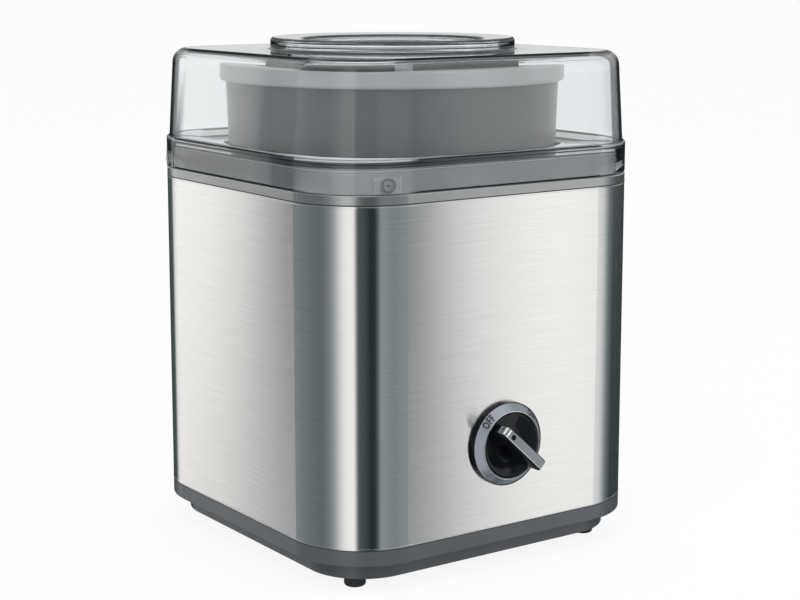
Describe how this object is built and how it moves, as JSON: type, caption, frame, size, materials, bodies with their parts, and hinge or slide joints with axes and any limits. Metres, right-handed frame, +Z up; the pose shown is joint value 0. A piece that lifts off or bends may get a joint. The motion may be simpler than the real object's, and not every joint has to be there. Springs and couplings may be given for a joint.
{
  "type": "electric ice cream maker",
  "caption": "Countertop ice cream maker with a brushed steel housing, a geared drive turning a double-walled freezer bowl, a fixed mixing paddle, a clear lid and a rotary switch.",
  "frame": {"origin": "on the table, under the middle of the housing and on the bowl's axis", "axes": "+Z up, -Y out of the front with the dial, +X to the right seen from the front"},
  "size_m": [0.2114, 0.2316, 0.2822],
  "materials": {
    "steel": "brushed",
    "trim_plastic": "satin",
    "dark_plastic": "semi-gloss",
    "tub_plastic": "satin",
    "clear_plastic": "clear",
    "bowl_plastic": "satin",
    "rim_plastic": "satin",
    "liner_metal": "satin",
    "gel": "matte",
    "rubber": "matte",
    "paddle_plastic": "satin",
    "gear_plastic": "matte",
    "case_plastic": "matte",
    "plated_steel": "plated",
    "core_steel": "varnished",
    "copper": "enamelled wire",
    "bronze": "sintered",
    "bezel_metal": "metallic",
    "knob_black": "gloss",
    "grip_metal": "satin",
    "terminal_plastic": "matte"
  },
  "bodies": {
    "base": {"foot_front_left": "rubber", "foot_front_right": "rubber", "foot_rear_right": "rubber", "foot_rear_left": "rubber", "bottom_cover": "dark_plastic", "cover_screws": "plated_steel", "chassis_band": "dark_plastic", "steel_sleeve": "steel", "rear_panel": "steel", "top_deck": "trim_plastic", "well_tub": "tub_plastic", "tub_screws": "plated_steel", "gear_case": "case_plastic", "gear_case_cover": "case_plastic", "gear_case_screws": "plated_steel", "output_bush_lower": "bronze", "output_bush_upper": "bronze", "shaft_seal": "rubber", "reduction_pin": "plated_steel", "motor_stack": "core_steel", "motor_coil": "copper", "motor_bridge_upper": "plated_steel", "motor_bridge_lower": "plated_steel", "motor_bearing_upper": "bronze", "motor_bearing_lower": "bronze", "dial_bezel": "bezel_metal", "switch_bracket": "plated_steel", "rotary_switch": "case_plastic", "switch_screws": "plated_steel", "cord_bushing": "rubber", "terminal_block": "terminal_plastic"},
    "drive": {"output_gear": "gear_plastic", "output_shaft": "plated_steel", "drive_hub": "case_plastic"},
    "reduction": {"reduction_gear": "gear_plastic"},
    "rotor": {"motor_rotor": "core_steel", "cooling_fan": "gear_plastic"},
    "bowl": {"bowl_shell": "bowl_plastic", "bowl_liner": "liner_metal", "coolant_fill": "gel", "bowl_rim": "rim_plastic", "rim_gasket": "rubber"},
    "paddle": {"mixing_paddle": "paddle_plastic"},
    "lid": {"clear_lid": "clear_plastic"},
    "knob": {"knob": "knob_black", "grip_trim": "grip_metal", "switch_spindle": "plated_steel"}
  },
  "joints": [
    {"name": "drive_spin", "type": "hinge", "parent": "base", "child": "drive", "pos_m": [0, 0, 0.1], "axis": [0, 0, 1], "continuous": true},
    {"name": "reduction_spin", "type": "hinge", "parent": "base", "child": "reduction", "pos_m": [0, 0.042, 0.08], "axis": [0, 0, 1], "continuous": true},
    {"name": "motor_spin", "type": "hinge", "parent": "base", "child": "rotor", "pos_m": [-0.028, 0.042, 0.05], "axis": [0, 0, 1], "continuous": true},
    {"name": "bowl_lift", "type": "slide", "parent": "drive", "child": "bowl", "axis": [0, 0, 1], "range_m": [0, 0.122]},
    {"name": "paddle_lift", "type": "slide", "parent": "base", "child": "paddle", "axis": [0, 0, 1], "range_m": [0, 0.2645]},
    {"name": "lid_lift", "type": "slide", "parent": "base", "child": "lid", "axis": [0, 0, 1], "range_m": [0, 0.3304]},
    {"name": "knob_turn", "type": "hinge", "parent": "base", "child": "knob", "pos_m": [0, -0.1045, 0.0705], "axis": [0, 1, 0], "range_deg": [0, 90]}
  ],
  "couplings": [
    {"joint": "reduction_spin", "follows": "drive_spin", "ratio": -6},
    {"joint": "motor_spin", "follows": "drive_spin", "ratio": 36},
    {"joint": "paddle_lift", "follows": "bowl_lift", "ratio": 2.16},
    {"joint": "lid_lift", "follows": "bowl_lift", "ratio": 2.7}
  ]
}
